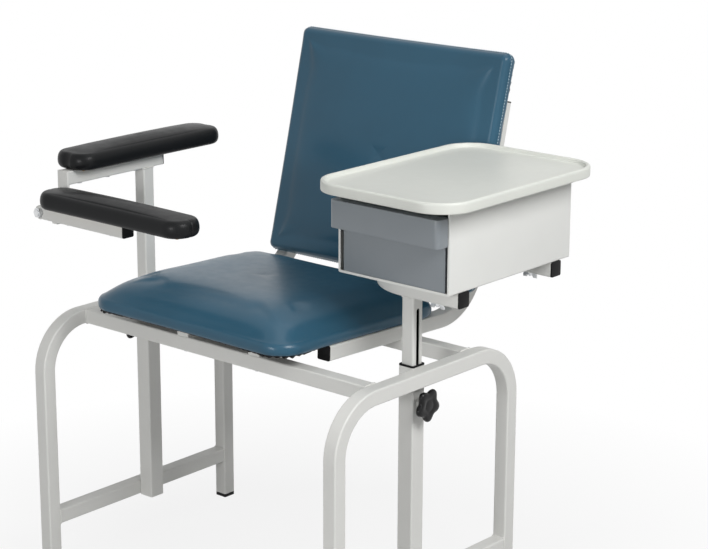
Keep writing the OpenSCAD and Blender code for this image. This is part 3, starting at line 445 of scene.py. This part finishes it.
def blown_up(made, pressure):
    """The points of the skin after Cloth has blown it up, with its underside held."""
    held = made.vertex_groups.new(name="held")
    held.add([v.index for v in made.data.vertices if v.co.z < HELD_BELOW], 1.0, "REPLACE")
    cloth = made.modifiers.new("cloth", "CLOTH")
    for key, value in CLOTH_SETTINGS.items():
        setattr(cloth.settings, key, value)
    cloth.settings.uniform_pressure_force = pressure
    cloth.settings.effector_weights.gravity = 0
    cloth.settings.vertex_group_mass = "held"
    cloth.collision_settings.use_collision = False
    cloth.point_cache.frame_start = 1
    cloth.point_cache.frame_end = CLOTH_FRAMES
    scene = bpy.context.scene
    for at in range(1, CLOTH_FRAMES + 1):
        scene.frame_set(at)
    shown = made.evaluated_get(bpy.context.evaluated_depsgraph_get())
    after = [v.co.copy() for v in shown.data.vertices]
    made.modifiers.clear()
    scene.frame_set(1)
    return after


def swell(made, form, cap, pressure):
    """Moves a cushion's points as Cloth moves an evenly meshed skin of the same form, up to the cap."""
    points, faces = loft(cushion_rings(form, **SKIN_DETAIL))
    even = bpy.data.objects.new("even_skin", bpy.data.meshes.new("even_skin"))
    even.data.from_pydata([tuple(p) for p in points], [], faces)
    bpy.context.scene.collection.objects.link(even)
    remesh_evenly(even)
    skin = skin_of(form)
    for vertex in even.data.vertices:
        vertex.co = skin.find_nearest(vertex.co)[0]
    before = [v.co.copy() for v in even.data.vertices]
    after = blown_up(even, pressure)
    bpy.data.objects.remove(even)
    near = KDTree(len(before))
    for i, spot in enumerate(before):
        near.insert(spot, i)
    near.balance()
    for vertex in made.data.vertices:
        total = Vector()
        weights = 0.0
        for _, i, distance in near.find_n(vertex.co, NEAR_POINTS):
            weight = 1 / (distance + NEAR_SOFTENING)
            total += (after[i] - before[i]) * weight
            weights += weight
        move = total / weights
        if move.length > cap:
            move *= cap / move.length
        vertex.co += move


def keep_within(made, form, proud):
    """No point above the underside lies further outside the form than proud."""
    skin = skin_of(form)
    for vertex in made.data.vertices:
        if vertex.co.z > UNDERSIDE:
            spot, normal, _, _ = skin.find_nearest(vertex.co)
            away = (vertex.co - spot).dot(normal)
            if away > proud:
                vertex.co -= normal * (away - proud)


def clear_of_bends(points):
    """In the back's frame, lifts what would reach into the bends of the tubes below the back."""
    for p in points:
        if p.y < 0:
            reach = BEND_CLEAR_RADIUS**2 - p.y**2
            p.z = max(p.z, -math.sqrt(max(reach, 0)))


def cushion(name, cad_node, body, slot, form, place, middle, cap, pressure, proud, over_bends=False):
    """A cushion that stands for a CAD node; returns its surface as a search tree, and its place."""
    start = dict(form)
    shrink = cap * START_SHARE
    start["w"] -= 2 * shrink
    start["d"] -= 2 * shrink
    start["edge"] -= shrink
    made = new_piece(name, loft(cushion_rings(start, **PIECE_DETAIL)), slot)
    tidy_normals(made.data)
    swell(made, start, cap, pressure)
    for vertex in made.data.vertices:
        vertex.co.z = max(vertex.co.z, 0)
    keep_within(made, form, proud)
    if over_bends:
        moved = [v.co + middle for v in made.data.vertices]
        clear_of_bends(moved)
        for vertex, spot in zip(made.data.vertices, moved):
            vertex.co = spot - middle
    all_smooth(made.data)
    skin = BVHTree.FromPolygons(
        [v.co.copy() for v in made.data.vertices], [tuple(p.vertices) for p in made.data.polygons]
    )
    here = place @ Matrix.Translation(middle)
    made.data.transform(here)
    surface = made.modifiers.new("surface", "SUBSURF")
    surface.levels = 1
    surface.render_levels = 1
    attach(made, body)
    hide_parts(cad_node)
    return skin, here


cushion(
    "seat_upholstery", "seat_cushion", "frame", "teal_vinyl", SEAT_FORM, SEAT_PLACE, SEAT_MIDDLE,
    cap=0.005, pressure=4, proud=0.002,
)
back_skin, back_here = cushion(
    "back_upholstery", "back_cushion", "frame", "teal_vinyl", BACK_FORM, BACK_PLACE, BACK_MIDDLE,
    cap=0.005, pressure=4, proud=0.0005, over_bends=True,
)
cushion(
    "side_arm_upholstery", "side_arm_pad", "arm_unit", "dark_vinyl", SIDE_PAD_FORM, SIDE_PAD_PLACE, Vector(),
    cap=0.003, pressure=3, proud=0.001,
)
cushion(
    "flip_arm_upholstery", "flip_arm_pad", "flip_arm", "dark_vinyl", CROSS_PAD_FORM, CROSS_PAD_PLACE, Vector(),
    cap=0.003, pressure=3, proud=0.001,
)

# The back's seam and its stitches

SEAM_HEIGHT = 0.018
SEAM_HALF_WIDTH = 0.0034
SEAM_PROUD = 0.0009
SEAM_OUTLINE = [(SEAM_HALF_WIDTH * c, SEAM_PROUD * s) for c, s in circle(10)]
SEARCH_REACH = 0.02
STITCH_STEP = 0.0065
STITCH_LENGTH = 0.0040
STITCH_RADIUS = 0.0009
STITCH_LIFT = 0.0014
STITCH_SHAPE = ((-0.5, 0.45), (-0.3, 1.0), (0.3, 1.0), (0.5, 0.45))


def seam_path(skin, form, z, step):
    """Evenly spaced (point, outward normal) pairs round a cushion's side at one height."""
    half_w = form["w"] / 2 - form["r"]
    half_d = form["d"] / 2 - form["r"]
    wider = 2 * SEARCH_REACH
    hits = []
    for p in soft_rectangle(form["w"] + wider, form["d"] + wider, form["r"] + SEARCH_REACH, 0, 16, 60):
        inner = Vector((max(-half_w, min(half_w, p.x)), max(-half_d, min(half_d, p.y)), 0))
        inward = Vector((inner.x - p.x, inner.y - p.y, 0)).normalized()
        spot, normal, _, _ = skin.ray_cast(Vector((p.x, p.y, z)), inward)
        if spot is not None:
            hits.append((spot, normal if normal.dot(inward) < 0 else -normal))
    lengths = [0.0]
    for (a, _), (b, _) in zip(hits, hits[1:] + hits[:1]):
        lengths.append(lengths[-1] + (b - a).length)
    count = round(lengths[-1] / step)
    evenly = []
    k = 0
    for i in range(count):
        at = lengths[-1] * i / count
        while lengths[k + 1] < at:
            k += 1
        share = (at - lengths[k]) / max(lengths[k + 1] - lengths[k], 1e-9)
        a = hits[k]
        b = hits[(k + 1) % len(hits)]
        evenly.append((a[0].lerp(b[0], share), a[1].lerp(b[1], share).normalized()))
    return evenly


def axes_along(path):
    """(spot, normal, along, across) at each point of a closed path of (point, normal) pairs."""
    for i, (spot, normal) in enumerate(path):
        along = (path[(i + 1) % len(path)][0] - path[i - 1][0]).normalized()
        yield spot, normal, along, along.cross(normal).normalized()


def swept(path, outline):
    """(points, faces) of an outline of (across, out) offsets carried along a closed path."""
    rings = [[spot + across * u + normal * v for u, v in outline] for spot, normal, _, across in axes_along(path)]
    return loft(rings, closed=True)


def stitch_run(path):
    """(points, faces) of short stitches, one at each point of the path."""
    stitches = []
    for spot, normal, along, across in axes_along(path):
        rings = []
        for share, width in STITCH_SHAPE:
            lift = STITCH_LIFT - STITCH_RADIUS * 0.5 * (1 - width)
            middle = spot + along * (share * STITCH_LENGTH) + normal * lift
            rings.append([middle + STITCH_RADIUS * width * (c * across + s * normal) for c, s in circle(6)])
        stitches.append(loft(rings))
    return joined(stitches)


def seamed(name, body, skin, here, form, z):
    """A folded seam and its stitches round a cushion."""
    path = seam_path(skin, form, z, STITCH_STEP)
    fold = new_piece(name + "_seam", swept(path, SEAM_OUTLINE), "teal_vinyl")
    row = new_piece(name + "_stitches", stitch_run(path), "teal_vinyl", THREAD)
    for made in (fold, row):
        made.data.transform(here)
        shade_smooth(made, 80)
        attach(made, body)


seamed("back", "frame", back_skin, back_here, BACK_FORM, SEAM_HEIGHT)

# Black covers under the seat and behind the back. A fold's row is its share of the cushion's size, and
# its shares of the scallop and of the drop

COVER_SHARE = 0.980
COVER_SHEET = 0.0008
FLAT_SHARES = (0.30, 0.60, 0.74, 0.77, 0.80, 0.83, 0.86, 0.88, 0.90, 0.915, 0.93)
FOLD_SHARES = [(0.942, 0.1, 0.1), (0.955, 0.25, 0.3), (0.972, 1.0, 1.0), (COVER_SHARE, 1.0, 0.6)]
PLEAT_LENGTH = 0.014
CORNER_START = 1.45
CORNER_REACH = 0.4
FLAT_STRENGTH = 0.02
CORNER_STRENGTH = 1.4


def gathered_cover(name, cad_node, form, place, middle, scallop, drop, rear_share, tuck, bend):
    """The black cloth under a cushion, folded in small pleats where it is stapled round its corners."""
    w, d = form["w"], form["d"]
    waves = 2 * round((w + d) / PLEAT_LENGTH)
    profile = [(share, 0.0, 0.0) for share in FLAT_SHARES] + FOLD_SHARES
    rows = [(*row, 0.0) for row in profile] + [(*row, COVER_SHEET) for row in reversed(profile)]
    rings = []
    for scale, amount, fall, lift in rows:
        outline = soft_rectangle(w * scale, d * scale, form["r"], 0, 12, 60)
        ring = []
        for i, p in enumerate(outline):
            wave = math.sin(2 * math.pi * waves * i / len(outline)) + 0.4 * math.sin(5.3 * i + 1.7)
            corner = max(0.0, abs(p.x) / (w / 2) + abs(p.y) / (d / 2) - CORNER_START) / CORNER_REACH
            strength = FLAT_STRENGTH + CORNER_STRENGTH * min(corner, 1.0) * (rear_share if p.y > 0 else 1)
            out = Vector((p.x, p.y, 0)).normalized()
            p = p * (1 - tuck * amount * (1 - min(strength, 1)))
            z = -COVER_SHEET - fall * drop * strength * (0.6 + 0.4 * wave) + lift
            ring.append(Vector((p.x, p.y, z)) + out * scallop * amount * wave * strength)
        rings.append(ring)
    points, faces = loft(rings)
    moved = [Vector(p) + middle for p in points]
    if bend:
        clear_of_bends(moved)
        moved = [p - Vector((0, 0, COVER_SHEET)) if p.y < 0 else p for p in moved]
    made = new_piece(name, (moved, faces), "black_cover")
    made.data.transform(place)
    shade_smooth(made, 60)
    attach(made, "frame")
    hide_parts(cad_node)


gathered_cover(
    "seat_under_cover", "seat_dust_cover", SEAT_FORM, SEAT_PLACE, SEAT_MIDDLE,
    scallop=0.0016, drop=0.0045, rear_share=0.1, tuck=0.018, bend=False,
)
gathered_cover(
    "back_rear_cover", "back_cover_panel", BACK_FORM, BACK_PLACE, BACK_MIDDLE,
    scallop=0.0012, drop=0.0008, rear_share=1, tuck=0.004, bend=True,
)

# Tray: one moulded shell with a round rim, a recessed floor and ribs below. The profile's rows are
# (inset, height), from the underside over the rim to the floor

TRAY_W, TRAY_D, TRAY_R = 0.358, 0.516, 0.075
TRAY_PROFILE = [
    (0.0085, 0.0100), (0.0075, 0.0090), (0.0072, 0.0005), (0.0066, 0.0), (0.0016, 0.0), (0.0006, 0.0004),
    (0.0002, 0.0014), (0.0, 0.0030), (0.0, 0.0165), (0.0003, 0.0186), (0.0012, 0.0203), (0.0026, 0.0214),
    (0.0044, 0.0220), (0.0064, 0.0220), (0.0080, 0.0214), (0.0091, 0.0203), (0.0097, 0.0188), (0.0103, 0.0160),
    (0.0112, 0.0142), (0.0126, 0.0133), (0.0146, 0.0130),
]
TRAY_UNDER = 0.010
TRAY_FLOOR = 0.0130
MIDDLE_SHARES = (0.3, 0.75)
RIB_HALF = 0.0015
RIB_LOW, RIB_HIGH = 0.0001, 0.0105
RIBS_LONG = ((-0.141, 0.2425), (0.0, 0.2505), (0.141, 0.2425))
RIBS_ACROSS = (-0.156, 0.188)
RIB_ACROSS_REACH = 0.1715


def tray_ring(w, d, r, z):
    return raise_ring(soft_rectangle(w, d, r, 0, 14, 6), z)


def tray():
    rings = [tray_ring(TRAY_W * s, TRAY_D * s, TRAY_R * s, TRAY_UNDER) for s in MIDDLE_SHARES]
    rings += [tray_ring(TRAY_W - 2 * inset, TRAY_D - 2 * inset, TRAY_R - inset, z) for inset, z in TRAY_PROFILE]
    rings += [tray_ring(TRAY_W * s, TRAY_D * s, TRAY_R * s, TRAY_FLOOR) for s in reversed(MIDDLE_SHARES)]
    ribs = [
        box_faces((x - RIB_HALF, -reach, RIB_LOW), (x + RIB_HALF, reach, RIB_HIGH)) for x, reach in RIBS_LONG
    ]
    ribs += [
        box_faces((-RIB_ACROSS_REACH, y - RIB_HALF, RIB_LOW), (RIB_ACROSS_REACH, y + RIB_HALF, RIB_HIGH))
        for y in RIBS_ACROSS
    ]
    made = new_piece("tray_shell", joined([loft(rings)] + ribs), "tray_plastic")
    made.data.transform(TRAY_PLACE)
    shade_smooth(made, 50)
    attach(made, "tray_unit")
    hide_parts("tray_top")


tray()

# Lock knobs: five lobes with a round edge, on a hub. The profile's rows are (share of the lobed
# radius, or 0, then the hub's radius, and the height)

KNOB_RADIUS = 0.035
KNOB_LOBES = 5
KNOB_HOLLOW = 0.24
KNOB_POINTS = 120
HUB_SHARE = 0.05
LOBES_FROM, LOBES_OVER = 0.3, 0.5
KNOB_PROFILE = [
    (0.0, 0.0075, 0.0), (0.0, 0.0125, 0.0), (0.0, 0.0138, 0.0009), (0.0, 0.0138, 0.0066),
    (HUB_SHARE, 0.0150, 0.0078), (0.6, 0.0, 0.0080), (0.86, 0.0, 0.0082), (0.95, 0.0, 0.0092),
    (1.0, 0.0, 0.0118), (1.0, 0.0, 0.0152), (0.955, 0.0, 0.0182), (0.87, 0.0, 0.0196), (0.72, 0.0, 0.0200),
    (0.5, 0.0, 0.0196), (0.42, 0.0, 0.0186), (0.36, 0.0, 0.0188), (0.2, 0.0, 0.0196),
]


def knob(name, place, body, cad_node):
    round_one = KNOB_RADIUS * (1 - KNOB_HOLLOW / 2)
    rings = []
    for share, radius, z in KNOB_PROFILE:
        soften = max(0.0, min(1.0, (share - LOBES_FROM) / LOBES_OVER)) if share > HUB_SHARE else 0.0
        ring = []
        for i in range(KNOB_POINTS):
            turn = 2 * math.pi * i / KNOB_POINTS
            lobed = KNOB_RADIUS * (1 - KNOB_HOLLOW * (1 - math.cos(KNOB_LOBES * turn)) / 2)
            reach = radius or share * (soften * lobed + (1 - soften) * round_one)
            ring.append(Vector((reach * math.cos(turn), reach * math.sin(turn), z)))
        rings.append(ring)
    made = new_piece(name, loft(rings), "gloss_black")
    made.data.transform(place)
    shade_smooth(made, 50)
    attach(made, body)
    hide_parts(cad_node)


knob("knob_star_left", KNOB_LEFT_PLACE, "knob_left", "lock_knob_left")
knob("knob_star_right", KNOB_RIGHT_PLACE, "knob_right", "lock_knob_right")

# Rigid nodes redrawn with soft edges, and the width of each one's bevel

SOFT_EDGES = {
    "cabinet": 0.0004,
    "drawer": 0.0009,
    "tube_end_caps": 0.0008,
    "support_end_caps": 0.0008,
    "side_arm_cap": 0.0008,
    "flip_arm_cap": 0.0008,
    "foot_tips_left": 0.0010,
    "foot_tips_right": 0.0010,
    "sleeve_collar_left": 0.0007,
    "sleeve_collar_right": 0.0007,
    "wing_nuts": 0.0005,
    "tray_clips": 0.0003,
    "hinge_bracket": 0.0006,
}
BEVEL_STEPS = 3
BEVEL_ANGLE = 35
SAME_POINT = 1e-6


def refined(cad_node, width):
    """A copy of a CAD node with clean faces and bevelled edges, which stands for the node."""
    source = frame["nodes"][cad_node]
    mesh = source.data.copy()
    form = bmesh.new()
    form.from_mesh(mesh)
    bmesh.ops.remove_doubles(form, verts=form.verts, dist=SAME_POINT)
    bmesh.ops.dissolve_limit(form, angle_limit=math.radians(1), verts=form.verts, edges=form.edges)
    form.to_mesh(mesh)
    form.free()
    made = new_piece(cad_node + "_dressed", mesh, SLOTS[cad_node])
    if "custom_normal" in mesh.attributes:
        mesh.attributes.remove(mesh.attributes["custom_normal"])
    bevel = made.modifiers.new("soft edges", "BEVEL")
    bevel.width = width
    bevel.segments = BEVEL_STEPS
    bevel.limit_method = "ANGLE"
    bevel.angle_limit = math.radians(BEVEL_ANGLE)
    bevel.harden_normals = False
    soft = shown_mesh(made)
    made.modifiers.clear()
    made.data = soft
    soft.materials.clear()
    soft.materials.append(MATERIALS[SLOTS[cad_node]])
    shade_smooth(made, 38)
    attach(made, source["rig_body"])
    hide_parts(cad_node)


for cad_node, width in SOFT_EDGES.items():
    refined(cad_node, width)

# Weld beads where tubes meet

WELD_RADIUS = 0.0019
WELD_RIPPLE = 0.0032
WELD_SWELL = 0.16
WELD_CORNER = 0.0035
TUBE_HALF = 0.016
POST_HALF = 0.015


def weld_loop(centre, across, up, half):
    """Ripples of weld round a square tube that ends on a face."""
    out = across.cross(up).normalized()
    outline = soft_rectangle(2 * half, 2 * half, WELD_CORNER, 0, 4, 14)
    path = [(centre + across * p.x + up * p.y, out) for p in outline]
    rings = []
    travelled = 0.0
    for i, (spot, normal, _, side) in enumerate(axes_along(path)):
        travelled += (spot - path[i - 1][0]).length
        thick = WELD_RADIUS * (1 + WELD_SWELL * math.sin(2 * math.pi * travelled / WELD_RIPPLE))
        rings.append([spot + thick * (c * side + s * normal) for c, s in circle(8)])
    return loft(rings, closed=True)


def welds(name, body, spots):
    parts = [weld_loop(SHIFT @ Vector(centre), across, up, half) for centre, across, up, half in spots]
    made = new_piece(name, joined(parts), "frame_paint")
    shade_smooth(made, 70)
    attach(made, body)


frame_spots = []
for side in (-1, 1):
    frame_spots += [((side * 0.3995, y, 0.549), Y, Z, TUBE_HALF) for y in (-0.150, 0.150)]
    frame_spots += [((side * 0.416, y, 0.108), X, Z, TUBE_HALF) for y in (-0.258, 0.258)]
welds("frame_welds", "frame", frame_spots)
welds("tray_welds", "tray_unit", [((POST_X, 0, 0.708), X, Y, POST_HALF)])
welds("arm_welds", "arm_unit", [((-POST_X, 0, 0.858), X, Y, POST_HALF)])

# Painted shade inside the slotted posts: near-black sheets stand in for the shade behind their slots

SHADE_SHEET_REACH = 0.0129
SHADE_SHEET_THICKNESS = 0.0003


def post_slot_painted_shade(name, body, side, bottom, top):
    """Three near-black sheets of painted shade on the walls of a post behind its slot, which is in the outer wall.
    """
    outer = SHADE_SHEET_REACH
    inner = SHADE_SHEET_REACH - SHADE_SHEET_THICKNESS
    walls = [
        ((-outer, -outer, bottom), (-inner, outer, top)),
        ((-inner, -outer, bottom), (inner, -inner, top)),
        ((-inner, inner, bottom), (inner, outer, top)),
    ]
    points, faces = joined([box_faces(low, high) for low, high in walls])
    placed = [SHIFT @ Vector((side * (POST_X + p.x), p.y, p.z)) for p in points]
    made = new_piece(name, (placed, faces), "black_plastic", SLOT_SHADOW)
    tidy_normals(made.data)
    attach(made, body)


# Painted shade behind the slots of the tray post and the arm post
post_slot_painted_shade("tray_post_painted_shade", "tray_unit", 1, 0.360, 0.700)
post_slot_painted_shade("arm_post_painted_shade", "arm_unit", -1, 0.430, 0.670)

# Materials of the CAD nodes that stay

for cad_node, slot in SLOTS.items():
    kept = frame["nodes"][cad_node].data
    kept.materials.clear()
    kept.materials.append(MATERIALS[slot])

# Floor and surroundings: white far away and where they are seen, plain and pale near the chair

FLOOR_REACH = 30
FLOOR_GREY = 0.6
FADE_FROM, FADE_TO = 0.5, 1.3
FADE_LEAST = 0.85
AMBIENT = 0.22


def maths(tree, operation, first, second):
    """The value of a maths node on two outputs."""
    made = tree.nodes.new("ShaderNodeMath")
    made.operation = operation
    tree.links.new(first, made.inputs[0])
    tree.links.new(second, made.inputs[1])
    return made.outputs[0]


def floor():
    """The ground: pale with the chair's shadow near the chair, and fading to white around it."""
    mesh = bpy.data.meshes.new("floor")
    a = FLOOR_REACH
    mesh.from_pydata([(-a, -a, 0), (a, -a, 0), (a, a, 0), (-a, a, 0)], [], [(0, 1, 2, 3)])
    made = bpy.data.objects.new("floor", mesh)
    bpy.context.scene.collection.objects.link(made)
    look = bpy.data.materials.new("floor")
    look.use_nodes = True
    tree = look.node_tree
    shader = tree.nodes["Principled BSDF"]
    set_inputs(shader, dict(Base_Color=(*grey(FLOOR_GREY), 1), Roughness=0.9, Specular_IOR_Level=0.1))
    glow = add_node(tree, "ShaderNodeEmission", Strength=1.0)
    rays = tree.nodes.new("ShaderNodeLightPath")
    place = tree.nodes.new("ShaderNodeTexCoord")
    reach = tree.nodes.new("ShaderNodeVectorMath")
    reach.operation = "LENGTH"
    fade = add_node(tree, "ShaderNodeMapRange", From_Min=FADE_FROM, From_Max=FADE_TO, To_Min=FADE_LEAST)
    mix = tree.nodes.new("ShaderNodeMixShader")
    link = tree.links.new
    link(place.outputs["Object"], reach.inputs[0])
    link(reach.outputs["Value"], fade.inputs["Value"])
    seen = maths(tree, "MAXIMUM", rays.outputs["Is Camera Ray"], rays.outputs["Is Glossy Ray"])
    link(maths(tree, "MULTIPLY", fade.outputs["Result"], seen), mix.inputs["Fac"])
    link(shader.outputs["BSDF"], mix.inputs[1])
    link(glow.outputs["Emission"], mix.inputs[2])
    link(mix.outputs["Shader"], tree.nodes["Material Output"].inputs["Surface"])
    mesh.materials.append(look)


def world():
    """White where it is seen, mirrored or seen through, and a plain even light otherwise."""
    sky = bpy.data.worlds.new("studio")
    bpy.context.scene.world = sky
    sky.use_nodes = True
    tree = sky.node_tree
    shine = tree.nodes["Background"]
    set_inputs(shine, dict(Color=(1, 1, 1, 1)))
    rays = tree.nodes.new("ShaderNodeLightPath")
    level = add_node(tree, "ShaderNodeMapRange", To_Min=AMBIENT, To_Max=1.0)
    seen = maths(tree, "MAXIMUM", rays.outputs["Is Camera Ray"], rays.outputs["Is Glossy Ray"])
    seen = maths(tree, "MAXIMUM", seen, rays.outputs["Is Transmission Ray"])
    tree.links.new(seen, level.inputs["Value"])
    tree.links.new(level.outputs["Result"], shine.inputs["Strength"])


def lamp(name, place, aim, size, power):
    data = bpy.data.lights.new(name, "AREA")
    data.shape = "RECTANGLE"
    data.size, data.size_y = size
    data.energy = power
    made = bpy.data.objects.new(name, data)
    bpy.context.scene.collection.objects.link(made)
    made.location = place
    made.rotation_euler = (Vector(place) - Vector(aim)).to_track_quat("Z", "Y").to_euler()


floor()
world()
lamp("key", place=(2.7, -0.5, 2.75), aim=(0.1, 0.0, 0.7), size=(1.6, 1.4), power=80)
lamp("top", place=(0.3, 0.6, 3.6), aim=(0, 0, 0.6), size=(2.2, 2.2), power=15)
lamp("front", place=(0.6, -3.9, 1.4), aim=(0, 0, 0.6), size=(1.3, 0.9), power=48)

camera_data = bpy.data.cameras.new("camera")
camera_data.lens = CAMERA_LENS
camera_data.sensor_width = SENSOR_WIDTH
camera = bpy.data.objects.new("camera", camera_data)
bpy.context.scene.collection.objects.link(camera)
camera.location = CAMERA_PLACE
camera.rotation_euler = [math.radians(a) for a in CAMERA_TURN]
bpy.context.scene.camera = camera
bpy.context.scene.view_settings.view_transform = "Standard"
